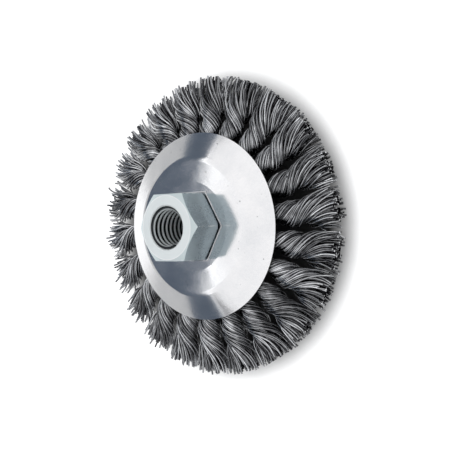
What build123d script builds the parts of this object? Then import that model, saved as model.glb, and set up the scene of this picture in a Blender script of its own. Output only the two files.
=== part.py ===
"""Knotted wire bevel brush: threaded hub, stamped cup, holed disc, front plate and twisted wire knots.

Millimetres, +Z up along the spindle axis with the nut on top. The brush lies on its wire tips,
so z = 0 is the plane of the tips and the origin is the bottom centre.
"""
import os
from math import cos, pi, radians, sin, tan

from build123d import *

# Knots
knot_count = 22
bevel_angle = 12.5  # the knots slope down from the disc by this much
tip_radius = 51.4  # from the spindle axis to the middle of a knot's tip
root_gap = 0.9  # from the edge of the disc to where the two strands close up
rope_half_width = 3.2  # where the twist starts
rope_half_height = 3.0
rim_half_width = 4.3  # where the knot leaves the cup
rim_half_height = 3.35
fan_half_width = 7.2  # at the tip, across the knot
fan_half_height = 5.0  # at the tip, along the spindle
fan_width_curve = 0.85  # the fan widens early when this is under 1
fan_height_curve = 1.2  # and thickens late when this is over 1
neck_share = 0.5  # of the knot's length, where the fan opens
lay_length = 19.0  # one full turn of the strands
unwind_sharpness = 1.6  # the strands straighten sooner along the fan when this is higher
strand_groove = 0.28  # depth of the groove between the strands, as a share of the half width
tip_groove = 0.1  # what is left of it at the tip
groove_sharpness = 4
tip_round = 0.9  # the tip's edge is worn back this far
tip_lean = 6.0  # the face of the tips leans out at the top, from upright
bundle_depth = 0.65  # of the valleys between the bundles of wires
bundle_count = 8
rope_stations = 9
fan_stations = 4

# Holed disc that carries the knots
disc_thickness = 2.0
disc_edge_radius = 23.6
disc_bend_margin = 0.9  # the disc is flat to this far past the clamped ring, and coned outside
hole_ring_radius = 20.2
hole_radius = 2.2

# Eye of each knot, round the rim of the disc
eye_clearance = 0.2
eye_leg = 1.7
eye_half_width = 1.7
eye_run_in = 0.9  # how far the eye runs on into the twist

# Bevel cup
cup_thickness = 1.5
cup_rim_radius = 31.8
cup_bend_radius = 22.9
cup_cone_angle = 25.0
cup_face_angle = 2.5
cup_bend_round = 3.0
cup_knot_clearance = 0.2

# Threaded hub
thread_radius = 7.0  # M14, bored to the full thread diameter
hub_wall = 2.2
hex_across_flats = 22.0
hex_height = 11.7
hex_chamfer_angle = 30.0
hex_face_radius = 10.6
hex_foot_chamfer = 0.6
hub_neck_radius = 10.4
hub_neck_height = 0.6
bore_chamfer = 0.5
lip_height = 1.6
lip_flare = 1.6
plate_fit = 0.1  # between the hub and the plates on it

# Spacer ring and front plate
clamp_width = 4.3
plate_thickness = 1.5
plate_edge_radius = 26.5
plate_step_run = 3.0
plate_knot_clearance = 0.25

os.makedirs("parts", exist_ok=True)

slope = tan(radians(bevel_angle))
cup_slope = tan(radians(cup_cone_angle))
hub_radius = thread_radius + hub_wall
hole_wall_radius = hub_radius + plate_fit
clamp_radius = hole_wall_radius + clamp_width
disc_bend_radius = clamp_radius + disc_bend_margin
cup_flat_radius = clamp_radius + cup_thickness

# Heights are worked out from the line of the knots at the spindle axis, then lifted to the tips


def knot_line(radius):
    """Height of the knots' centre line at a radius, from where it meets the spindle axis."""
    return -radius * slope


root_radius = disc_edge_radius + root_gap
knot_length = (tip_radius - root_radius) / cos(radians(bevel_angle))


def blend(start, end, share):
    """Smooth change from start to end as share goes from 0 to 1."""
    share = min(max(share, 0.0), 1.0)
    return start + (end - start) * share * share * (3.0 - 2.0 * share)


rim_share = (cup_rim_radius - root_radius) / (tip_radius - root_radius)


def half_sizes(share):
    """Half width and half height of the knot at a share of its length."""
    if share <= rim_share:
        part = share / rim_share
        width = blend(rope_half_width, rim_half_width, part)
        height = blend(rope_half_height, rim_half_height, part)
    else:
        part = (share - rim_share) / (1.0 - rim_share)
        width = rim_half_width + (fan_half_width - rim_half_width) * part**fan_width_curve
        height = rim_half_height + (fan_half_height - rim_half_height) * part**fan_height_curve
    return width, height


def twist(share):
    """Angle of the strands at a share of the length: a steady lay that slows down along the fan."""
    turn = -2.0 * pi * knot_length / lay_length
    if share <= neck_share:
        return turn * share
    past = share - neck_share
    fan = 1.0 - neck_share
    power = unwind_sharpness + 1.0
    return turn * (neck_share + fan * (1.0 - (1.0 - past / fan) ** power) / power)


def groove(share):
    """Depth of the groove between the strands, which closes as the wires spread."""
    return blend(strand_groove, tip_groove, (share - neck_share) / (1.0 - neck_share))


section_points = 2 * bundle_count


def section(share, shrink=1.0, back=0.0, lean=0.0):
    """Crests and valleys round the knot at a share of its length, in the knot's own frame."""
    width, height = half_sizes(share)
    angle = twist(share)
    depth = groove(share)
    points = []
    for index in range(section_points):
        around = 2.0 * pi * index / section_points
        valley = index % 2 * bundle_depth / width
        reach = (1.0 - valley - depth * sin(around) ** groove_sharpness) * shrink
        across = width * reach * cos(around + angle)
        upward = height * reach * sin(around + angle)
        outward = share * knot_length - back - upward * lean
        points.append(Vector(outward, across, upward))
    return points


def triangle(first, second, third):
    """Flat three-sided face."""
    return Face(Wire.make_polygon([first, second, third], close=True))


def twisted_body():
    """The two strands from the disc's edge to the tip, as facets that follow the lay."""
    rope = [neck_share * index / rope_stations for index in range(rope_stations)]
    fan = [neck_share + (1.0 - neck_share) * index / fan_stations for index in range(fan_stations + 1)]
    rings = [section(share) for share in rope + fan[:-1]]
    lean = tan(radians(bevel_angle - tip_lean))
    rings.append(section(1.0, back=tip_round, lean=lean))
    rings.append(section(1.0, shrink=1.0 - tip_round / fan_half_width, lean=lean))
    faces = []
    for near, far in zip(rings[:-1], rings[1:]):
        for index in range(section_points):
            after = (index + 1) % section_points
            faces.append(triangle(near[index], near[after], far[after]))
            faces.append(triangle(near[index], far[after], far[index]))
    for ring, place in ((rings[0], 0.0), (rings[-1], knot_length)):
        middle = Vector(place, 0, 0)
        for index in range(section_points):
            after = (index + 1) % section_points
            faces.append(triangle(middle, ring[index], ring[after]))
    return Solid(Shell(faces))


def eye():
    """The loop of wire through the disc's hole and round its rim, in the knot's own frame."""
    cone = cos(radians(bevel_angle))
    hole_place = (hole_ring_radius - root_radius) / cone
    edge_place = (disc_edge_radius - root_radius) / cone
    inner = disc_thickness / 2 + eye_clearance
    outer = inner + eye_leg
    pin_radius = hole_radius - eye_clearance
    legs_start = hole_place - pin_radius
    legs_length = eye_run_in - legs_start
    leg_place = legs_start + legs_length / 2
    leg = Box(legs_length, 2 * eye_half_width, eye_leg)
    legs = Pos(leg_place, 0, inner + eye_leg / 2) * leg + Pos(leg_place, 0, -inner - eye_leg / 2) * leg
    pin = Cylinder(pin_radius, 2 * outer) & Box(2 * pin_radius, 2 * eye_half_width, 2 * outer)
    pin = Pos(hole_place, 0, 0) * pin
    bridge_start = edge_place + eye_clearance
    bridge_length = eye_run_in - bridge_start
    bridge = Pos(bridge_start + bridge_length / 2, 0, 0) * Box(bridge_length, 2 * eye_half_width, 2 * outer)
    return legs + pin + bridge


def knot():
    """One knot, lying along its cone over the +X axis."""
    shape = twisted_body() + eye()
    shape = Rot(0, bevel_angle, 0) * shape
    return Pos(root_radius, 0, knot_line(root_radius)) * shape


first_knot = knot()
lift = -first_knot.bounding_box().min.Z

# Heights of the stack at the hub
disc_middle = lift + knot_line(disc_bend_radius)
disc_top = disc_middle + disc_thickness / 2
disc_bottom = disc_middle - disc_thickness / 2
plate_bottom = disc_bottom - plate_thickness
rim_knot_top = lift + knot_line(cup_rim_radius) + rim_half_height / cos(radians(bevel_angle))
rim_underside = rim_knot_top + cup_knot_clearance
cup_drop = cup_thickness / cos(radians(cup_cone_angle))
rim_top = rim_underside + cup_drop
bend_top = rim_top + (cup_rim_radius - cup_bend_radius) * cup_slope
cup_rise = tan(radians(cup_face_angle))
seat_height = bend_top + (cup_bend_radius - cup_flat_radius) * cup_rise
cup_bottom = seat_height - cup_thickness
hex_foot = seat_height + hub_neck_height
hub_top = hex_foot + hex_height
lip_bottom = plate_bottom - lip_height


def turned(points, rounds=()):
    """Solid turned about the spindle axis from (radius, height) corners, with some corners rounded."""
    outline = Polyline(*[(radius, 0, height) for radius, height in points], close=True)
    profile = make_face(outline)
    for place, amount in rounds:
        corner = profile.vertices().sort_by_distance(place)[0]
        profile = fillet(corner, amount)
    return revolve(profile, Axis.Z, 360)


def bevel_cup():
    """Stamped cup: nearly flat face, rounded bend and cone down to the rim."""
    rim_in = cup_thickness * sin(radians(cup_cone_angle))
    points = [
        (hole_wall_radius, seat_height),
        (cup_flat_radius, seat_height),
        (cup_bend_radius, bend_top),
        (cup_rim_radius, rim_top),
        (cup_rim_radius - rim_in, rim_top - cup_thickness * cos(radians(cup_cone_angle))),
        (cup_bend_radius - rim_in / 2, bend_top - cup_thickness),
        (cup_flat_radius, cup_bottom),
        (hole_wall_radius, cup_bottom),
    ]
    outer_bend = (cup_bend_radius, 0, bend_top)
    inner_bend = (cup_bend_radius - rim_in / 2, 0, bend_top - cup_thickness)
    rounds = [(outer_bend, cup_bend_round + cup_thickness), (inner_bend, cup_bend_round)]
    return turned(points, rounds)


def knot_disc():
    """Dished disc with one hole for each knot."""
    half = disc_thickness / 2 / cos(radians(bevel_angle))
    edge = lift + knot_line(disc_edge_radius)
    tilt = disc_thickness / 2 * sin(radians(bevel_angle))
    rise = disc_thickness / 2 * cos(radians(bevel_angle))
    points = [
        (hole_wall_radius, disc_top),
        (disc_bend_radius - (half - disc_thickness / 2) / slope, disc_top),
        (disc_edge_radius + tilt, edge + rise),
        (disc_edge_radius - tilt, edge - rise),
        (disc_bend_radius + (half - disc_thickness / 2) / slope, disc_bottom),
        (hole_wall_radius, disc_bottom),
    ]
    disc = turned(points)
    drill = Rot(0, bevel_angle, 0) * Cylinder(hole_radius, 4 * disc_thickness)
    drill = Pos(hole_ring_radius, 0, lift + knot_line(hole_ring_radius)) * drill
    for index in range(knot_count):
        disc -= Rot(0, 0, 360.0 * index / knot_count) * drill
    return disc


def front_plate():
    """Plate under the disc, stepped down to pass under the eyes and the first turns of the knots."""
    cone = cos(radians(bevel_angle))
    under_knot = rope_half_height / cone + plate_knot_clearance
    step_radius = clamp_radius + plate_step_run
    step_height = lift + knot_line(step_radius) - under_knot
    edge_height = lift + knot_line(plate_edge_radius) - under_knot - plate_knot_clearance
    points = [
        (hole_wall_radius, disc_bottom),
        (clamp_radius, disc_bottom),
        (step_radius, step_height),
        (plate_edge_radius, edge_height),
        (plate_edge_radius, edge_height - plate_thickness),
        (step_radius - plate_thickness / 2, step_height - plate_thickness),
        (clamp_radius - plate_thickness / 2, plate_bottom),
        (hole_wall_radius, plate_bottom),
    ]
    return turned(points)


def spacer_ring():
    """Ring that sets the cup above the disc."""
    points = [
        (hole_wall_radius, cup_bottom),
        (clamp_radius, cup_bottom),
        (clamp_radius, disc_top),
        (hole_wall_radius, disc_top),
    ]
    return turned(points)


def threaded_hub():
    """Hexagon on a round neck, with a tube through the plates that is spread into a lip underneath."""
    corner = hex_across_flats / 2 / cos(pi / 6)
    shoulder = hub_top - (corner - hex_face_radius) * tan(radians(hex_chamfer_angle))
    body = Pos(0, 0, hex_foot) * extrude(RegularPolygon(corner, 6), hex_height)
    envelope = turned([
        (0, hex_foot),
        (corner - hex_foot_chamfer, hex_foot),
        (corner, hex_foot + hex_foot_chamfer),
        (corner, shoulder),
        (hex_face_radius, hub_top),
        (0, hub_top),
    ])
    tube = turned([
        (0, hex_foot),
        (hub_neck_radius, hex_foot),
        (hub_neck_radius, seat_height),
        (hub_radius, seat_height),
        (hub_radius, plate_bottom),
        (hub_radius + lip_flare, plate_bottom),
        (hub_radius + lip_flare, plate_bottom - lip_height / 2),
        (hub_radius, lip_bottom),
        (0, lip_bottom),
    ])
    bore = turned([
        (0, lip_bottom),
        (thread_radius + bore_chamfer, lip_bottom),
        (thread_radius, lip_bottom + bore_chamfer),
        (thread_radius, hub_top - bore_chamfer),
        (thread_radius + bore_chamfer, hub_top),
        (0, hub_top),
    ])
    return (body & envelope) + tube - bore


def knots():
    """Every knot in its own place round the disc, by node name."""
    placed = {}
    for index in range(knot_count):
        turn = Rot(0, 0, 360.0 * index / knot_count)
        placed[f"knot_{index + 1:02d}"] = turn * Pos(0, 0, lift) * first_knot
    return placed


pieces = {
    "threaded_hub": threaded_hub(),
    "bevel_cup": bevel_cup(),
    "spacer_ring": spacer_ring(),
    "knot_disc": knot_disc(),
    "front_plate": front_plate(),
    **knots(),
}

for name, piece in pieces.items():
    export_step(piece, f"parts/{name}.step")

print(f"seat height {seat_height:.2f}, hub top {hub_top:.2f}")
print(f"rim top {rim_top:.2f}, lip bottom {lip_bottom:.2f}")
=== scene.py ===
"""Finishes, separate wires, thread and studio for a knotted wire bevel brush.

Metres, +Z up along the spindle axis. The brush lies on its wire tips with the hub on top, and the
camera looks down on it, rolled so that the hub points to the left of the picture.
"""

import logging
import math
import random
from dataclasses import dataclass
from enum import Enum
from typing import Any, Iterator

import bmesh
import bpy
from mathutils import Matrix, Vector


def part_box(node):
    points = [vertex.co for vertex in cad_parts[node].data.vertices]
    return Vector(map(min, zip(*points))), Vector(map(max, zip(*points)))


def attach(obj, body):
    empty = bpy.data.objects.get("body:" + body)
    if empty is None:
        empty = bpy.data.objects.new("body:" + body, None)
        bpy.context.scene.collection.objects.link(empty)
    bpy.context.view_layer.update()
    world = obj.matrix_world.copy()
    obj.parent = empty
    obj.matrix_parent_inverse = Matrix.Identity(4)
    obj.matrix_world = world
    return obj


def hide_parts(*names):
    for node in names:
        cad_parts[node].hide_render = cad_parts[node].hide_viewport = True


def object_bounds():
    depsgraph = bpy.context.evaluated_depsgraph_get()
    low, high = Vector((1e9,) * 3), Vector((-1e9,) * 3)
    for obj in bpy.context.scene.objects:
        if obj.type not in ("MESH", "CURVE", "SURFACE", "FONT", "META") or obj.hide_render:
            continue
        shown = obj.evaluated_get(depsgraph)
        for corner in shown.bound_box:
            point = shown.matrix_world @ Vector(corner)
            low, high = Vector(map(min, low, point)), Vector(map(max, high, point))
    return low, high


log = logging.getLogger("bevel_brush")
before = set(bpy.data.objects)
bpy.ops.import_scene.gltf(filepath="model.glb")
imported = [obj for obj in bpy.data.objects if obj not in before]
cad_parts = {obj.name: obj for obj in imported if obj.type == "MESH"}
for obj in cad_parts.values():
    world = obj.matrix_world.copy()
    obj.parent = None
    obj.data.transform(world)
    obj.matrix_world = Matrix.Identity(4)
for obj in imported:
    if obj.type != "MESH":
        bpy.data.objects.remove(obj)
cad_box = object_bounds()

MM = 0.001
HEX_HEIGHT = 11.7 * MM
Colour = tuple[float, float, float, float]


class Slot(Enum):
    """The record's material slots."""

    HUB = "zinc_hub"
    CUP = "zinc_cup"
    PLATE = "plain_steel"
    WIRE = "wire_steel"


class Facing(Enum):
    """How a lamp or a card of the studio stands: its tip from lying flat, and its swing in the picture."""

    DOWN = (0.0, 0.0)
    ACROSS = (math.pi / 2, -math.pi / 2)
    ALONG = (math.pi / 2, 0.0)


def grey(level: float) -> Colour:
    """Neutral colour of one level."""
    return (level, level, level, 1.0)


class Value:
    """A number socket whose Python operators add Math nodes."""

    def __init__(self, graph: "Graph", socket: bpy.types.NodeSocket) -> None:
        """Wraps a socket of a graph."""
        self.graph = graph
        self.socket = socket

    def __add__(self, other: Any) -> "Value":
        """Sum."""
        return self.graph.maths("ADD", self, other)

    __radd__ = __add__

    def __sub__(self, other: Any) -> "Value":
        """Difference."""
        return self.graph.maths("SUBTRACT", self, other)

    def __rsub__(self, other: Any) -> "Value":
        """Difference from a number."""
        return self.graph.maths("SUBTRACT", other, self)

    def __mul__(self, other: Any) -> "Value":
        """Product."""
        return self.graph.maths("MULTIPLY", self, other)

    __rmul__ = __mul__

    def __pow__(self, other: Any) -> "Value":
        """Power."""
        return self.graph.maths("POWER", self, other)

    def above(self, edge: float, width: float) -> "Value":
        """Soft step from 0 to 1.

        Args:
            edge: where it leaves 0.
            width: how much later it reaches 1.

        Returns:
            The step.
        """
        node = self.graph.node(
            "ShaderNodeMapRange",
            {"clamp": True},
            {"Value": self, "From Min": edge, "From Max": edge + width},
        )
        return Value(self.graph, node.outputs["Result"])


class Graph:
    """A material's nodes, built from Python."""

    def __init__(self, name: str) -> None:
        """Starts an empty node tree on a new material.

        Args:
            name: the material's name.
        """
        self.material = bpy.data.materials.new(name)
        self.material.use_nodes = True
        self.tree = self.material.node_tree
        self.tree.nodes.clear()

    def node(self, kind: str, settings: dict[str, Any], sockets: dict[Any, Any]) -> bpy.types.Node:
        """Adds any node.

        Args:
            kind: the node's type.
            settings: its properties, set first.
            sockets: values, or links from values and sockets, by input name or number.

        Returns:
            The node.
        """
        node = self.tree.nodes.new(kind)
        for key, setting in settings.items():
            setattr(node, key, setting)
        for key, given in sockets.items():
            given = given.socket if isinstance(given, Value) else given
            if isinstance(given, bpy.types.NodeSocket):
                self.tree.links.new(given, node.inputs[key])
            else:
                node.inputs[key].default_value = given
        return node

    def maths(self, operation: str, first: Any, second: Any) -> Value:
        """Result of a Math node on two numbers or values."""
        node = self.node("ShaderNodeMath", {"operation": operation}, {0: first, 1: second})
        return Value(self, node.outputs[0])

    def position(self) -> bpy.types.NodeSocket:
        """Place on the object, in metres."""
        return self.node("ShaderNodeTexCoord", {}, {}).outputs["Object"]

    def noise(self, scale: float, detail: float, vector: Any = None) -> Value:
        """Noise between 0 and 1.

        Args:
            scale: features per metre.
            detail: octaves.
            vector: the coordinates, or None for the place on the object.

        Returns:
            The noise.
        """
        vector = self.position() if vector is None else vector
        node = self.node("ShaderNodeTexNoise", {}, {"Vector": vector, "Scale": scale, "Detail": detail})
        return Value(self, node.outputs["Fac"])

    def cylindrical(self) -> tuple[Value, Value, Value]:
        """Coordinates round the spindle axis.

        Returns:
            The distance from the axis, the angle round it and the height.
        """
        parts = self.node("ShaderNodeSeparateXYZ", {}, {"Vector": self.position()})
        across, along, height = (Value(self, socket) for socket in parts.outputs)
        reach = (across * across + along * along) ** 0.5
        return reach, self.maths("ARCTAN2", along, across), height

    def turned(self, rings: float, round_scale: float) -> bpy.types.NodeSocket:
        """Coordinates round the spindle axis, so that a noise on them makes turning lines.

        Args:
            rings: features per metre outwards.
            round_scale: features per radian.

        Returns:
            The coordinates.
        """
        reach, angle, height = self.cylindrical()
        joined = self.node(
            "ShaderNodeCombineXYZ",
            {},
            {"X": reach * rings, "Y": angle * round_scale, "Z": height * rings},
        )
        return joined.outputs[0]

    def mix(self, share: Any, first: Any, second: Any) -> bpy.types.NodeSocket:
        """Mix of two colours by a share from 0 to 1."""
        node = self.node("ShaderNodeMix", {"data_type": "RGBA"}, {0: share, 6: first, 7: second})
        return node.outputs[2]

    def seen(self) -> Value:
        """Marks the rays that show a background.

        Returns:
            1 for what the camera sees straight, in metal or through glass, and 0 for other light.
        """
        path = self.node("ShaderNodeLightPath", {}, {})
        rays = ("Is Camera Ray", "Is Glossy Ray", "Is Transmission Ray")
        camera, glossy, through = (Value(self, path.outputs[ray]) for ray in rays)
        return self.maths("MAXIMUM", self.maths("MAXIMUM", camera, glossy), through)

    def bump(self, height: Value, depth: float) -> bpy.types.NodeSocket:
        """Normal from a height of 0 to 1, at a depth in metres."""
        return self.node("ShaderNodeBump", {}, {"Height": height, "Distance": depth}).outputs[0]

    def surface(self, **sockets: Any) -> bpy.types.Material:
        """Ends the tree with a Principled shader.

        Args:
            sockets: its inputs, with underscores for spaces.

        Returns:
            The material.
        """
        named = {key.replace("_", " "): given for key, given in sockets.items()}
        shader = self.node("ShaderNodeBsdfPrincipled", {}, named)
        self.node("ShaderNodeOutputMaterial", {}, {"Surface": shader.outputs[0]})
        return self.material


class SurroundGraph(Graph):
    """A world's nodes."""

    def __init__(self, world: bpy.types.World) -> None:
        """Starts from the nodes that the world has."""
        self.tree = world.node_tree


@dataclass(frozen=True)
class ZincFinish:
    """Zinc plate on steel: cloudy, with turning lines, fine scratches, specks and shallow dents."""

    name: str
    light: Colour
    dark: Colour
    roughness: float
    turning: float = 0.0
    specks: float = 0.02
    dents: float = 0.0
    cloud_scale: float = 90.0
    grain_scale: float = 2600.0
    line_scale: float = 5200.0
    lines_round: float = 1.6
    scratch_scale: float = 900.0
    scratches_round: float = 40.0
    speck_scale: float = 700.0
    speck_edge: float = 0.74
    speck_soft: float = 0.02
    speck_depth: float = 0.45
    speck_colour: Colour = grey(0.12)
    dent_scale: float = 150.0
    tone_shares: tuple[float, float, float] = (0.6, 0.25, 0.15)
    tone_edge: float = 0.3
    tone_width: float = 0.4
    uneven_gloss: tuple[float, float] = (0.16, 0.08)
    grain_relief: float = 0.35
    cloud_relief: float = 0.2
    relief: float = 0.012 * MM

    def build(self) -> bpy.types.Material:
        """Makes the material.

        Returns:
            The material.
        """
        graph = Graph(self.name)
        turned_lines = graph.turned(self.line_scale, self.lines_round)
        turned_scratches = graph.turned(self.scratch_scale, self.scratches_round)
        clouds = graph.noise(self.cloud_scale, detail=4.0)
        grain = graph.noise(self.grain_scale, detail=3.0)
        lines = graph.noise(1.0, detail=3.0, vector=turned_lines)
        scratches = graph.noise(1.0, detail=2.0, vector=turned_scratches)
        speck = graph.noise(self.speck_scale, detail=1.0)
        speck = speck.above(self.speck_edge - self.specks, self.speck_soft)
        cloud_share, grain_share, scratch_share = self.tone_shares
        tone = clouds * cloud_share + grain * grain_share + scratches * scratch_share
        colour = graph.mix(tone.above(self.tone_edge, self.tone_width), self.dark, self.light)
        colour = graph.mix(speck * self.speck_depth, colour, self.speck_colour)
        cloud_gloss, grain_gloss = self.uneven_gloss
        middle = self.roughness - (cloud_gloss + grain_gloss) / 2
        roughness = clouds * cloud_gloss + grain * grain_gloss + middle
        height = lines * self.turning + grain * self.grain_relief + clouds * self.cloud_relief
        height = height + graph.noise(self.dent_scale, detail=1.0) * self.dents
        colour, metallic, rougher = self.detail(graph, colour)
        return graph.surface(
            Base_Color=colour,
            Metallic=metallic,
            Roughness=roughness + rougher,
            Normal=graph.bump(height, self.relief),
        )

    def detail(self, graph: Graph, colour: bpy.types.NodeSocket) -> tuple[Any, Any, Any]:
        """Colour, how metallic it is and what is added to its roughness: plain plate has no wear."""
        return colour, 1.0, 0.0


@dataclass(frozen=True)
class HubFinish(ZincFinish):
    """Zinc plate with a pale machined top that also carries painted sheen, a chamfer darkened with painted
    shade, a painted highlight on the turned edge round its face, and corners rubbed by wear that also carry
    painted glints.
    """

    # top: the machined top's own pale tone, which also carries painted sheen
    top: Colour = (0.86, 0.9, 0.9, 1)
    # chamfer: the same machined surface, darkened with painted shade
    chamfer: Colour = (0.7, 0.78, 0.79, 1)
    # face_radius and edge_width place a painted highlight: a white line just inside the face's turned edge
    face_radius: float = 10.6 * MM
    edge_width: float = 0.25 * MM
    corner: float = 12.55 * MM
    soft: float = 0.06 * MM
    steep: float = 0.5
    steep_soft: float = 0.1
    # dot settings: spots of wear on the corners that also carry painted glints in the top's pale colour
    dot_scale: float = 1500.0
    dot_edge: float = 0.54
    dot_soft: float = 0.06
    dot_strength: float = 0.6
    paleness: float = 0.9
    dullness: float = 0.6
    matt: float = 0.2

    def detail(self, graph: Graph, colour: bpy.types.NodeSocket) -> tuple[Any, Any, Any]:
        """Adds the machined top with painted sheen, its chamfer with painted shade, its edge with a painted
        highlight, and the corners' dots of wear with painted glints.

        Args:
            graph: the material's nodes.
            colour: the plate's colour.

        Returns:
            The colour, how metallic it is, and what is added to its roughness.
        """
        # Up-facing faces get the machined colours: painted sheen on the top and painted shade on the
        # chamfer.
        facing = graph.node("ShaderNodeTexCoord", {}, {}).outputs["Normal"]
        parts = graph.node("ShaderNodeSeparateXYZ", {}, {"Vector": facing})
        pale = Value(graph, parts.outputs["Z"]).above(self.steep, self.steep_soft)
        reach = graph.cylindrical()[0]
        beyond = reach.above(self.face_radius, self.soft)
        # painted highlight: a white band just inside the face's edge
        edge = reach.above(self.face_radius - self.edge_width, self.soft) * (1.0 - beyond)
        # corner spots of wear with painted glints: noise dots beyond the corner's reach, in the pale top
        # colour
        dots = graph.noise(self.dot_scale, detail=1.0).above(self.dot_edge, self.dot_soft)
        dots = reach.above(self.corner, self.soft) * dots
        colour = graph.mix(dots * self.dot_strength, colour, self.top)
        machined_with_painted_light = graph.mix(beyond, self.top, self.chamfer)
        # paints the white highlight line over the machined colours
        machined_with_painted_light = graph.mix(edge, machined_with_painted_light, grey(1.0))
        colour = graph.mix(pale * self.paleness, colour, machined_with_painted_light)
        return colour, 1.0 - pale * self.dullness, pale * self.matt


@dataclass(frozen=True)
class ThreadFinish(ZincFinish):
    """Zinc plate with painted shade between the crests of a thread."""

    crest: float = 6.12 * MM
    fade: float = 0.22 * MM
    # painted shade for the thread's flanks and roots behind the crests
    painted_root_shade: Colour = (0.012, 0.015, 0.018, 1)
    metallic: float = 0.4

    def detail(self, graph: Graph, colour: bpy.types.NodeSocket) -> tuple[Any, Any, Any]:
        """Darkens what lies behind the crests with painted shade.

        Args:
            graph: the material's nodes.
            colour: the plate's colour.

        Returns:
            The colour, how metallic it is, and what is added to its roughness.
        """
        reach = graph.cylindrical()[0]
        # painted shade: beyond the crest's reach the colour turns near black
        root_shaded = graph.mix(reach.above(self.crest, self.fade), colour, self.painted_root_shade)
        return root_shaded, self.metallic, 0.0


@dataclass(frozen=True)
class WireFinish:
    """Dark tempered wire: each wire has its own tone, which also holds painted shade inside the knot and a
    painted highlight at the tip, with stains along it.
    """

    name: str
    light: Colour
    dark: Colour
    roughness: float
    own_share: float = 0.9
    stain_share: float = 0.5
    stain_scale: float = 420.0
    contrast: float = 1.9
    stain_gloss: float = 0.2

    def build(self) -> bpy.types.Material:
        """Makes the material.

        Returns:
            The material.
        """
        graph = Graph(self.name)
        # the tone attribute holds each wire's own tone, with painted shade inside the knot and a painted
        # highlight at the tip
        tone = graph.node("ShaderNodeAttribute", {"attribute_name": "tone"}, {}).outputs["Fac"]
        stain = graph.noise(self.stain_scale, detail=3.0)
        share = Value(graph, tone) * self.own_share + (stain - 0.5) * self.stain_share
        colour = graph.mix(share.above(0.0, 1.0) ** self.contrast, self.dark, self.light)
        return graph.surface(
            Base_Color=colour,
            Metallic=1.0,
            Roughness=stain * self.stain_gloss + (self.roughness - self.stain_gloss / 2),
        )


FINISHES = {
    Slot.HUB: HubFinish(
        "zinc_hub",
        light=(0.43, 0.51, 0.54, 1),
        dark=(0.31, 0.38, 0.42, 1),
        roughness=0.28,
        specks=0.0,
    ),
    Slot.CUP: ZincFinish(
        "zinc_cup",
        light=(0.9, 0.89, 0.89, 1),
        dark=(0.72, 0.725, 0.74, 1),
        roughness=0.13,
        turning=0.4,
        specks=-0.01,
        dents=2.5,
    ),
    Slot.PLATE: ZincFinish(
        "plain_steel",
        light=(0.55, 0.56, 0.58, 1),
        dark=(0.4, 0.41, 0.43, 1),
        roughness=0.34,
        turning=0.5,
    ),
    Slot.WIRE: WireFinish(
        "wire_steel",
        light=(0.97, 0.98, 1.0, 1),
        dark=(0.009, 0.009, 0.013, 1),
        roughness=0.17,
    ),
}
THREAD_FINISH = ThreadFinish(
    "zinc_thread",
    light=(0.9, 0.93, 0.93, 1),
    dark=(0.7, 0.76, 0.78, 1),
    roughness=0.3,
)


def deselect() -> None:
    """Clears the selection, which the loaded model leaves full."""
    bpy.ops.object.select_all(action="DESELECT")


def activate(piece: bpy.types.Object) -> None:
    """Selects one object alone and makes it active.

    Args:
        piece: the object.
    """
    deselect()
    piece.select_set(True)
    bpy.context.view_layer.objects.active = piece


@dataclass
class Habit:
    """How one wire departs from its knot's even shape.

    It leans at the tip, waves by some height, beat and phase, twists late and ends at a share of the length.
    """

    lean: Vector
    wave: float
    beat: float
    phase: float
    late: float
    end: float


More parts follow.
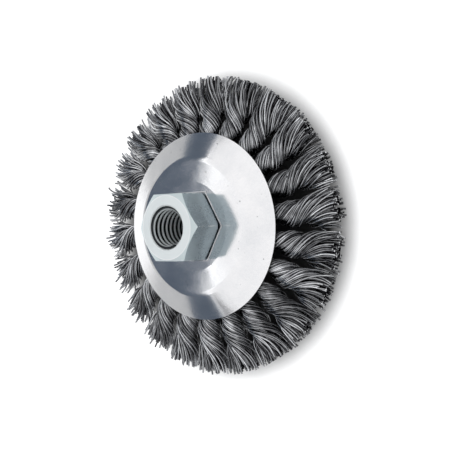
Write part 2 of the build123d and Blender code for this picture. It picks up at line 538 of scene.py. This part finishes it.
@dataclass
class WireKnots:
    """The knots' separate wires: twisted together at the disc and spread into a fan at the tips.

    Half sizes are across the knot and along the spindle. Every other wire of a layer is sunk, so that the
    wires show apart, and at the tips the lower wires end further in than the upper ones.
    """

    count: int = 22
    layers: tuple[tuple[int, float], ...] = ((32, 1.0), (26, 0.8), (20, 0.6), (14, 0.4), (7, 0.2), (1, 0.0))
    jitter: float = 0.3
    reach_spread: float = 0.04
    sink: float = 0.15
    wire_diameter: float = 0.6 * MM
    wire_resolution: int = 2
    hidden_points: int = 3
    hidden_share: float = 0.9
    shown_points: int = 16
    bevel: float = math.radians(12.5)
    tip_lean: float = math.radians(6.0)
    under_cut: float = 0.1
    tip_radius: float = 51.4 * MM
    root_radius: float = 24.5 * MM
    rim_radius: float = 31.8 * MM
    rope_half: tuple[float, float] = (3.2 * MM, 3.0 * MM)
    rim_half: tuple[float, float] = (4.3 * MM, 3.35 * MM)
    fan_half: tuple[float, float] = (7.7 * MM, 5.0 * MM)
    fan_width_curve: float = 0.85
    fan_height_curve: float = 1.2
    neck: float = 0.5
    lay: float = 19.0 * MM
    unwind: float = 1.6
    bundles: int = 8
    bundle_depth: float = 0.65 * MM
    groove: float = 0.3
    tip_groove: float = 0.1
    groove_sharpness: int = 4
    hole_radius: float = 20.2 * MM
    disc_half: float = 1.3 * MM
    eye_layer: float = 2.2
    eye_slack: float = 0.2 * MM
    splay: tuple[float, float] = (0.8 * MM, 0.5 * MM)
    wave_mm: tuple[float, float] = (0.04, 0.22)
    wave_root: float = 0.4
    beats: tuple[float, float] = (2.0, 5.0)
    lateness: float = 0.09
    tip_ragged: float = 0.9 * MM
    short_share: float = 0.18
    shorter: tuple[float, float] = (1.0, 3.0)
    strays: int = 3
    stray_lean: float = 2.4
    tones: tuple[float, float] = (0.45, 1.0)
    # inner_painted_shade: the share of tone left to the innermost wires, painted shade inside the knot
    inner_painted_shade: float = 0.12
    # sharpness of the painted highlight towards each wire's tip
    tip_highlight_sharpness: int = 4
    seed: int = 41

    def __post_init__(self) -> None:
        """Works out a knot's length, where the cup's rim crosses it, and its root's height."""
        run = self.tip_radius - self.root_radius
        self.length = run / math.cos(self.bevel)
        self.rim = (self.rim_radius - self.root_radius) / run
        self.inwards = Vector((math.cos(self.bevel), 0.0, math.sin(self.bevel)))
        self.wires = sum(number for number, _ in self.layers)
        low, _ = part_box("knot_01")
        drop = self.length * math.sin(self.bevel)
        self.root_height = low[2] + self.fan_half[1] * math.cos(self.bevel) + drop
        self.limit = min(cad_box[1][0], cad_box[1][1], -cad_box[0][0], -cad_box[0][1])

    def halves(self, share: float) -> tuple[float, float]:
        """Size of the bundle along its length.

        Args:
            share: share of the length.

        Returns:
            Its half width and half height.
        """
        if share <= self.rim:
            part = max(share, 0.0) / self.rim
            part = part * part * (3.0 - 2.0 * part)
            pairs = zip(self.rope_half, self.rim_half)
            width, height = (start + (end - start) * part for start, end in pairs)
        else:
            part = (share - self.rim) / (1.0 - self.rim)
            wide, deep = part**self.fan_width_curve, part**self.fan_height_curve
            width = self.rim_half[0] + (self.fan_half[0] - self.rim_half[0]) * wide
            height = self.rim_half[1] + (self.fan_half[1] - self.rim_half[1]) * deep
        return width, height

    def twist(self, share: float) -> float:
        """Angle of the bundle along its length, which slows down along the fan.

        Args:
            share: share of the length.

        Returns:
            The angle.
        """
        turn = -math.tau * self.length / self.lay
        if share <= self.neck:
            return turn * share
        fan = 1.0 - self.neck
        power = self.unwind + 1.0
        left = max(1.0 - (share - self.neck) / fan, 0.0)
        return turn * (self.neck + fan * (1.0 - left**power) / power)

    def places(self, dice: random.Random) -> Iterator[tuple[float, float]]:
        """Finds each wire's place in the knot's section, in layers from the outside in.

        Args:
            dice: this knot's random numbers.

        Yields:
            The wire's angle, and its reach as a share of the knot's half size.
        """
        for number, reach in self.layers:
            first = dice.uniform(0.0, math.tau)
            for index in range(number):
                around = first + math.tau * (index + dice.uniform(-self.jitter, self.jitter)) / number
                sunk = self.sink * (index % 2)
                yield around, reach * (1.0 - sunk - abs(dice.gauss(0.0, self.reach_spread)))

    def valley(self, around: float) -> float:
        """Share of a valley's depth at an angle of the section: 0 on a bundle's crest, 1 in a valley."""
        phase = around * self.bundles / math.tau % 1.0
        return 1.0 - abs(2.0 * phase - 1.0)

    def habit(self, dice: random.Random) -> Habit:
        """Draws one wire's habit.

        Args:
            dice: this knot's random numbers.

        Returns:
            The habit.
        """
        lean = Vector((0.0, dice.gauss(0.0, self.splay[0]), dice.gauss(0.0, self.splay[1])))
        wave = dice.uniform(*self.wave_mm) * MM
        beat = dice.uniform(*self.beats)
        phase = dice.uniform(0.0, math.tau)
        late = dice.gauss(0.0, self.lateness)
        short = abs(dice.gauss(0.0, self.tip_ragged))
        if dice.random() < self.short_share:
            short += dice.uniform(*self.shorter) * self.tip_ragged
        end = 1.0 - short / self.length
        if dice.random() < self.strays / self.wires:
            lean *= self.stray_lean
            end = 1.0
        return Habit(lean, wave, beat, phase, late, end)

    def wire_path(self, around: float, reach: float, dice: random.Random) -> list[Vector]:
        """Points of one wire, in the knot's own frame: outwards, across and up.

        Args:
            around: the wire's angle in the knot's section.
            reach: its distance from the middle, as a share of the knot's half size.
            dice: this knot's random numbers.

        Returns:
            The points from the disc's hole to the wire's tip.
        """
        habit = self.habit(dice)
        hidden = self.rim * self.hidden_share
        shown = habit.end - hidden
        shares = [hidden * step / self.hidden_points for step in range(self.hidden_points)]
        shares += [hidden + shown * step / self.shown_points for step in range(self.shown_points + 1)]
        path = self._eye_points(around, reach)
        return path + [self._twisted_point(share, around, reach, habit) for share in shares]

    def _twisted_point(self, share: float, around: float, reach: float, habit: Habit) -> Vector:
        """A point of a wire in the twist or the fan.

        Args:
            share: share of the knot's length.
            around: the wire's angle in the knot's section.
            reach: its distance from the middle, as a share of the knot's half size.
            habit: the wire's habit.

        Returns:
            The point, in the knot's own frame.
        """
        width, height = self.halves(share)
        fan = max(share - self.neck, 0.0) / (1.0 - self.neck)
        depth = self.groove + (self.tip_groove - self.groove) * fan
        dent = self.valley(around) * self.bundle_depth / width
        groove = depth * math.sin(around) ** self.groove_sharpness
        spread = reach * (1.0 - dent - groove) - self.wire_diameter / 2 / width
        angle = around + self.twist(share) + habit.late * fan
        ripple = habit.wave * math.sin(habit.beat * math.pi * share + habit.phase) * (self.wave_root + fan)
        upward = height * math.sin(angle) * spread
        place = Vector((share * self.length, 0.0, 0.0))
        place += Vector((-upward * math.tan(self.bevel - self.tip_lean) * fan, 0.0, upward))
        place -= self.inwards * (height - upward) * self.under_cut * fan
        place.y += width * math.cos(angle) * spread
        place += habit.lean * fan * fan
        place += Vector((0.0, math.sin(habit.phase), math.cos(habit.phase))) * ripple
        return place

    def _eye_points(self, around: float, reach: float) -> list[Vector]:
        """Points of a wire where it leaves the disc's hole and passes over or under the rim.

        Args:
            around: the wire's angle in the knot's section.
            reach: its distance from the middle, as a share of the knot's half size.

        Returns:
            The points, in the knot's own frame.
        """
        hole = (self.hole_radius - self.root_radius) / math.cos(self.bevel)
        side = 1.0 if math.sin(around) > 0.0 else -1.0
        layer = 0.5 + self.eye_layer * abs(math.sin(around)) * reach
        lift = side * (self.disc_half + self.wire_diameter * layer)
        across = self.rope_half[0] * 0.5 * reach * math.cos(around)
        return [
            Vector((hole, across * 0.8, 0.0)),
            Vector((hole + self.eye_slack, across * 0.9, lift * 0.8)),
            Vector((hole * 0.6, across, lift)),
            Vector((hole * 0.25, across * 1.2, lift)),
        ]

    def place(self, point: Vector, turn: float) -> Vector:
        """A point of the knot's own frame in the brush's frame, held over the floor and inside its reach.

        Args:
            point: outwards along the knot, across it and up from it.
            turn: the knot's angle round the spindle.

        Returns:
            The point.
        """
        slope = Matrix.Rotation(self.bevel, 3, "Y")
        moved = slope @ point + Vector((self.root_radius, 0.0, self.root_height))
        moved = Matrix.Rotation(turn, 3, "Z") @ moved
        wire = self.wire_diameter / 2
        moved.z = max(moved.z, wire)
        outside = max(moved.xy.length / (self.limit - wire), 1.0)
        moved.x /= outside
        moved.y /= outside
        return moved

    def build(self, material: bpy.types.Material) -> Iterator[bpy.types.Object]:
        """Makes the wires of each knot as one mesh.

        Args:
            material: the wire's finish.

        Yields:
            One finished object for each knot.
        """
        for number in range(1, self.count + 1):
            node = f"knot_{number:02d}"
            dice = random.Random(self.seed + number)
            turn = math.tau * (number - 1) / self.count
            paths = [self.wire_path(around, reach, dice) for around, reach in self.places(dice)]
            paths = [[self.place(point, turn) for point in path] for path in paths]
            piece = self._tubes(f"wires_{number:02d}", paths)
            self._tones(piece, dice)
            piece.data.materials.append(material)
            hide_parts(node)
            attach(piece, "root")
            yield piece

    def _tubes(self, name: str, paths: list[list[Vector]]) -> bpy.types.Object:
        """One mesh of round wires.

        Args:
            name: the piece's name.
            paths: the wires' points.

        Returns:
            The piece.
        """
        curve = bpy.data.curves.new(name, "CURVE")
        curve.dimensions = "3D"
        curve.bevel_depth = self.wire_diameter / 2
        curve.bevel_resolution = self.wire_resolution
        curve.use_fill_caps = True
        for path in paths:
            spline = curve.splines.new("POLY")
            spline.points.add(len(path) - 1)
            spline.points.foreach_set("co", [number for point in path for number in (*point, 1.0)])
            spline.use_smooth = True
        piece = bpy.data.objects.new(name, curve)
        bpy.context.scene.collection.objects.link(piece)
        activate(piece)
        bpy.ops.object.convert(target="MESH")
        return bpy.context.view_layer.objects.active

    def _tones(self, piece: bpy.types.Object, dice: random.Random) -> None:
        """Gives each wire its own tone, with painted shade towards the middle of the knot and a painted
        highlight at the tip.

        Args:
            piece: the knot's wires.
            dice: this knot's random numbers.
        """
        share = len(piece.data.vertices) // self.wires
        tone = piece.data.attributes.new("tone", "FLOAT", "POINT")
        reaches = [reach for number, reach in self.layers for _ in range(number)]
        levels = [dice.uniform(*self.tones) for _ in reaches]
        values = []
        for index in range(len(piece.data.vertices)):
            wire = min(index // share, self.wires - 1)
            # painted highlight: tone rises towards the wire's tip
            tip_highlight = (index % share / share) ** self.tip_highlight_sharpness
            # painted shade: tone falls with the square of the wire's layer reach
            inside = self.inner_painted_shade + (1.0 - self.inner_painted_shade) * reaches[wire] ** 2
            values.append(levels[wire] * (inside + (1.0 - inside) * tip_highlight))
        tone.data.foreach_set("value", values)


@dataclass
class HubThread:
    """The hub's internal M14 thread, as one ridge that winds through the bore."""

    wall: float = 7.0 * MM
    wall_overlap: float = 1.002
    crest: float = 5.95 * MM
    pitch: float = 2.0 * MM
    root_width: float = 1.98 * MM
    crest_width: float = 0.42 * MM
    steps: int = 64
    inset: float = 0.5 * MM
    top_gap: float = 0.24 * MM
    mouth: float = 0.1 * MM
    run_out: float = 0.7
    least: float = 0.05

    def build(self, material: bpy.types.Material) -> bpy.types.Object:
        """Winds the tooth's section up the bore.

        Args:
            material: the thread's finish.

        Returns:
            The thread.
        """
        low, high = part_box("threaded_hub")
        turns = int((high[2] - low[2] - self.inset - self.top_gap) / self.pitch)
        end = high[2] - self.top_gap
        start = end - turns * self.pitch
        piece = self._section(start)
        winding = piece.modifiers.new("winding", "SCREW")
        winding.screw_offset = self.pitch
        winding.iterations = turns
        winding.steps = self.steps
        winding.render_steps = self.steps
        winding.use_merge_vertices = False
        bpy.ops.object.modifier_apply(modifier="winding")
        self._close(piece)
        self._fade(piece, start, end, high[2] - self.mouth)
        piece.data.materials.append(material)
        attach(piece, "root")
        return piece

    def _section(self, start: float) -> bpy.types.Object:
        """Outline of the tooth, at the foot of the ridge.

        Args:
            start: the height of the tooth's middle.

        Returns:
            The outline, as edges alone.
        """
        deselect()
        bpy.ops.mesh.primitive_plane_add(size=1.0, rotation=(math.pi / 2, 0, 0))
        piece = bpy.context.object
        piece.name = "hub_thread"
        bpy.ops.object.transform_apply(location=True, rotation=True, scale=True)
        for vertex in piece.data.vertices:
            inner = vertex.co.x < 0
            width = self.crest_width if inner else self.root_width
            side = math.copysign(width / 2, vertex.co.z)
            vertex.co = (self.crest if inner else self.wall * self.wall_overlap, 0.0, start + side)
        bpy.ops.object.mode_set(mode="EDIT")
        bpy.ops.mesh.select_all(action="SELECT")
        bpy.ops.mesh.delete(type="ONLY_FACE")
        bpy.ops.object.mode_set(mode="OBJECT")
        return piece

    @staticmethod
    def _close(piece: bpy.types.Object) -> None:
        """Caps the two ends of the ridge and turns its faces outwards.

        Args:
            piece: the thread.
        """
        mesh = bmesh.new()
        mesh.from_mesh(piece.data)
        bmesh.ops.holes_fill(mesh, edges=[edge for edge in mesh.edges if edge.is_boundary])
        bmesh.ops.recalc_face_normals(mesh, faces=mesh.faces)
        mesh.to_mesh(piece.data)
        mesh.free()

    def _fade(self, piece: bpy.types.Object, start: float, end: float, mouth: float) -> None:
        """Lets the ridge run out into the wall at its two ends and stop under the bore's mouth.

        Args:
            piece: the thread.
            start: the height of its lower end.
            end: the height of its upper end.
            mouth: the height that nothing of it passes.
        """
        for vertex in piece.data.vertices:
            height = min(vertex.co.z - start, end - vertex.co.z)
            share = min(max(height / self.pitch + self.run_out, self.least), 1.0)
            vertex.co.z = min(vertex.co.z, mouth)
            reach = vertex.co.xy.length
            wanted = self.wall - (self.wall - reach) * share if reach < self.wall else reach
            vertex.co.x *= wanted / reach
            vertex.co.y *= wanted / reach


@dataclass
class FootRing:
    """Thin bright line of the joint between the hexagon's foot and the cup."""

    flat_reach: float = 11.45 * MM
    sides: int = 6
    thickness: float = 0.46 * MM
    foot_gap: float = 0.6 * MM
    resolution: int = 2

    def build(self, material: bpy.types.Material) -> bpy.types.Object:
        """Lays the line round the six sides, on the cup.

        Args:
            material: the cup's finish.

        Returns:
            The ring.
        """
        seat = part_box("threaded_hub")[1][2] - HEX_HEIGHT - self.foot_gap
        corner = self.flat_reach / math.cos(math.pi / self.sides)
        deselect()
        bpy.ops.curve.primitive_bezier_circle_add(radius=corner, location=(0.0, 0.0, seat))
        ring = bpy.context.object
        ring.name = "foot_ring"
        ring.data.splines.clear()
        outline = ring.data.splines.new("POLY")
        outline.points.add(self.sides - 1)
        for index, point in enumerate(outline.points):
            angle = index * math.tau / self.sides
            point.co = (corner * math.cos(angle), corner * math.sin(angle), 0.0, 1.0)
        outline.use_cyclic_u = True
        ring.data.bevel_depth = self.thickness / 2
        ring.data.bevel_resolution = self.resolution
        bpy.ops.object.convert(target="MESH")
        bpy.ops.object.transform_apply(location=True, rotation=True, scale=True)
        ring = bpy.context.object
        ring.data.materials.append(material)
        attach(ring, "root")
        return ring


@dataclass
class SolidPieces:
    """The hub, cup, disc and plates, which keep the solids' own shape."""

    nodes: tuple[tuple[str, Slot], ...] = (
        ("threaded_hub", Slot.HUB),
        ("bevel_cup", Slot.CUP),
        ("spacer_ring", Slot.PLATE),
        ("knot_disc", Slot.PLATE),
        ("front_plate", Slot.CUP),
    )

    def dress(self, materials: dict[Slot, bpy.types.Material]) -> Iterator[str]:
        """Gives each solid its finish.

        Args:
            materials: the finishes by slot.

        Yields:
            The name of each dressed solid.
        """
        for name, slot in self.nodes:
            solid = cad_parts[name]
            for place in solid.material_slots:
                place.material = materials[slot]
            yield name


@dataclass(frozen=True)
class Card:
    """A card that only metal shows.

    Its size is its width and its depth or height. Its place is its middle: to the right in the picture,
    upwards in it, and over the floor.
    """

    name: str
    colour: Colour
    size: tuple[float, float]
    place: tuple[float, float, float]
    facing: Facing


@dataclass
class Studio:
    """Pale floor, soft lights overhead and on the left, cards for the metal to show, and the camera.

    The overhead light's left edge is at a share of its height, and the dark card goes on from there.
    """

    distance: float = 300.0 * MM
    tilt: float = math.radians(39.46)
    lean: float = math.radians(1.54)
    turn: float = math.radians(58.85)
    aside: tuple[float, float] = (-12.57 * MM, -0.27 * MM)
    focal_pixels: float = 892.8
    picture_pixels: float = 455.0
    sensor_mm: float = 36.0
    floor_half: float = 3.0
    floor_level: float = 0.9
    floor_roughness: float = 0.8
    floor_glow: float = 0.4
    # painted shadow under the brush: its floor colour, reach from the axis and soft edge
    shade_level: float = 0.05
    shade_reach: float = 43.0 * MM
    shade_soft: float = 12.0 * MM
    light_height: float = 0.7
    light_edge: float = -0.79
    light_size: tuple[float, float] = (0.88, 1.6)
    light_power: float = 3.45
    side_size: tuple[float, float] = (3.6, 1.0)
    side_distance: float = 2.2
    side_power: float = 8.4
    card_size: tuple[float, float] = (0.95, 3.0)
    roof_rise: float = 1.08
    card_colour: Colour = (0.13, 0.165, 0.22, 1)
    grey_colour: Colour = (0.42, 0.42, 0.43, 1)
    left_colour: Colour = (0.9, 0.9, 0.9, 1)
    top_colour: Colour = (0.75, 0.75, 0.76, 1)
    right_colour: Colour = (0.5, 0.5, 0.51, 1)
    world_level: float = 0.6
    world_colour: Colour = (0.97, 0.985, 1.0, 1.0)

    def __post_init__(self) -> None:
        """Works out the picture's right on the floor, and the way up."""
        self.right_flat = Vector((math.cos(self.turn), math.sin(self.turn), 0.0))
        self.upward = Vector((0.0, 0.0, 1.0))

    def axes(self) -> tuple[Vector, Vector, Vector]:
        """Finds the camera's axes in the brush's frame.

        Returns:
            Picture right, picture up and the way back to the camera.
        """
        down_flat = Vector((math.sin(self.turn), -math.cos(self.turn), 0.0))
        sine, cosine = math.sin(self.tilt), math.cos(self.tilt)
        lean_sine, lean_cosine = math.sin(self.lean), math.cos(self.lean)
        right = cosine * self.right_flat + lean_sine * sine * down_flat - sine * lean_cosine * self.upward
        down = lean_cosine * down_flat + lean_sine * self.upward
        ahead = -sine * self.right_flat + lean_sine * cosine * down_flat - cosine * lean_cosine * self.upward
        return right, -down, -ahead

    def camera(self) -> None:
        """Puts the camera where the photograph was taken from."""
        right, up, back = self.axes()
        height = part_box("threaded_hub")[1][2] - HEX_HEIGHT
        target = Vector((0.0, 0.0, height))
        place = target - self.aside[0] * right + self.aside[1] * up + self.distance * back
        data = bpy.data.cameras.new("camera")
        data.sensor_width = self.sensor_mm
        data.lens = self.focal_pixels / self.picture_pixels * self.sensor_mm
        camera = bpy.data.objects.new("camera", data)
        turned = Matrix((right, up, back)).transposed().to_4x4()
        camera.matrix_world = Matrix.Translation(place) @ turned
        bpy.context.scene.collection.objects.link(camera)
        bpy.context.scene.camera = camera

    def floor(self) -> None:
        """Lays the pale floor, which shows white round the brush's shadow and has a painted shadow under the
        brush, where it is dark and does not glow.
        """
        deselect()
        bpy.ops.mesh.primitive_plane_add(size=2 * self.floor_half)
        floor = bpy.context.object
        floor.name = "floor"
        graph = Graph("floor")
        shown = graph.seen()
        # painted shadow: within shade_reach the floor is dark and does not glow
        outside_painted_shadow = graph.cylindrical()[0].above(self.shade_reach, self.shade_soft)
        floor.data.materials.append(
            graph.surface(
                Base_Color=graph.mix(outside_painted_shadow, grey(self.shade_level), grey(self.floor_level)),
                Roughness=self.floor_roughness,
                Emission_Color=graph.mix(outside_painted_shadow, grey(0.0), grey(1.0)),
                Emission_Strength=shown * self.floor_glow,
            )
        )

    def lamp(
        self,
        name: str,
        size: tuple[float, float],
        power: float,
        place: Vector,
        facing: Facing,
    ) -> None:
        """Hangs or stands a soft rectangular lamp.

        Args:
            name: the lamp's name.
            size: width and height.
            power: watts.
            place: its middle.
            facing: which way it shines.
        """
        data = bpy.data.lights.new(name, "AREA")
        data.shape = "RECTANGLE"
        data.size, data.size_y = size
        data.energy = power
        lamp = bpy.data.objects.new(name, data)
        lamp.location = place
        lamp.rotation_euler = self.rotation(facing)
        bpy.context.scene.collection.objects.link(lamp)

    def rotation(self, facing: Facing) -> Vector:
        """Rotation of a lamp or card that faces one way in the picture."""
        tip, swing = facing.value
        return Vector((tip, 0.0, self.turn + swing))

    def light(self) -> None:
        """Hangs the soft light overhead and stands a low one on the left."""
        middle = self.light_edge * self.light_height + self.light_size[0] / 2
        place = self.right_flat * middle + self.upward * self.light_height
        self.lamp("soft_light", self.light_size, self.light_power, place, Facing.DOWN)
        place = -self.right_flat * self.side_distance + self.upward * self.side_size[1] / 2
        self.lamp("side_light", self.side_size, self.side_power, place, Facing.ACROSS)

    def cards(self) -> Iterator[Card]:
        """Plans a dark card beyond the soft light's left edge, a grey roof and four walls.

        Yields:
            The cards.
        """
        high = self.light_height
        edge = self.light_edge * high
        width, depth = self.card_size
        half = depth / 2
        yield Card("dark_card", self.card_colour, self.card_size, (edge - width / 2, 0.0, high), Facing.DOWN)
        roof = (edge + half, 0.0, high * self.roof_rise)
        yield Card("grey_card_over", self.grey_colour, (depth, depth), roof, Facing.DOWN)
        side = (depth, high)
        right = (edge + depth, 0.0, high / 2)
        yield Card("pale_card_right", self.right_colour, side, right, Facing.ACROSS)
        left = (edge - width, 0.0, high / 2)
        yield Card("pale_card_left", self.left_colour, side, left, Facing.ACROSS)
        wall = (depth + width, high)
        middle = edge + half - width / 2
        yield Card("pale_card_top", self.top_colour, wall, (middle, half, high / 2), Facing.ALONG)
        yield Card("grey_card_bottom", self.grey_colour, wall, (middle, -half, high / 2), Facing.ALONG)

    def hang(self, planned: Card) -> None:
        """Puts up a card.

        Args:
            planned: the card.
        """
        deselect()
        bpy.ops.mesh.primitive_plane_add(size=1.0)
        card = bpy.context.object
        card.name = planned.name
        card.scale = (*planned.size, 1.0)
        card.location = Matrix.Rotation(self.turn, 3, "Z") @ Vector(planned.place)
        card.rotation_euler = self.rotation(planned.facing)
        bpy.ops.object.transform_apply(location=True, rotation=True, scale=True)
        card.data.materials.append(Graph(planned.name).surface(Base_Color=planned.colour, Roughness=1.0))
        card.visible_camera = False
        card.visible_diffuse = False
        card.visible_shadow = False

    def world(self) -> None:
        """Sets a plain surround, which the camera and metal see as white."""
        world = bpy.data.worlds.new("surround")
        world.use_nodes = True
        graph = SurroundGraph(world)
        level = graph.seen() * (1.0 - self.world_level) + self.world_level
        shade = graph.tree.nodes["Background"]
        shade.inputs["Color"].default_value = self.world_colour
        graph.tree.links.new(level.socket, shade.inputs["Strength"])
        bpy.context.scene.world = world
        bpy.context.scene.view_settings.view_transform = "Standard"

    def build(self) -> None:
        """Sets up the whole studio."""
        self.camera()
        self.floor()
        self.light()
        for card in self.cards():
            self.hang(card)
        self.world()


def main() -> None:
    """Builds the brush's pieces in order and reports each one."""
    logging.basicConfig(level=logging.INFO, format="%(name)s: %(message)s")
    materials = {slot: finish.build() for slot, finish in FINISHES.items()}
    Studio().build()
    for name in SolidPieces().dress(materials):
        log.info("dressed %s", name)
    thread = HubThread().build(THREAD_FINISH.build())
    log.info("wound %s", thread.name)
    ring = FootRing().build(materials[Slot.CUP])
    log.info("laid %s", ring.name)
    for wires in WireKnots().build(materials[Slot.WIRE]):
        log.info("laid %s with %d faces", wires.name, len(wires.data.polygons))


if __name__ == "__main__":
    main()
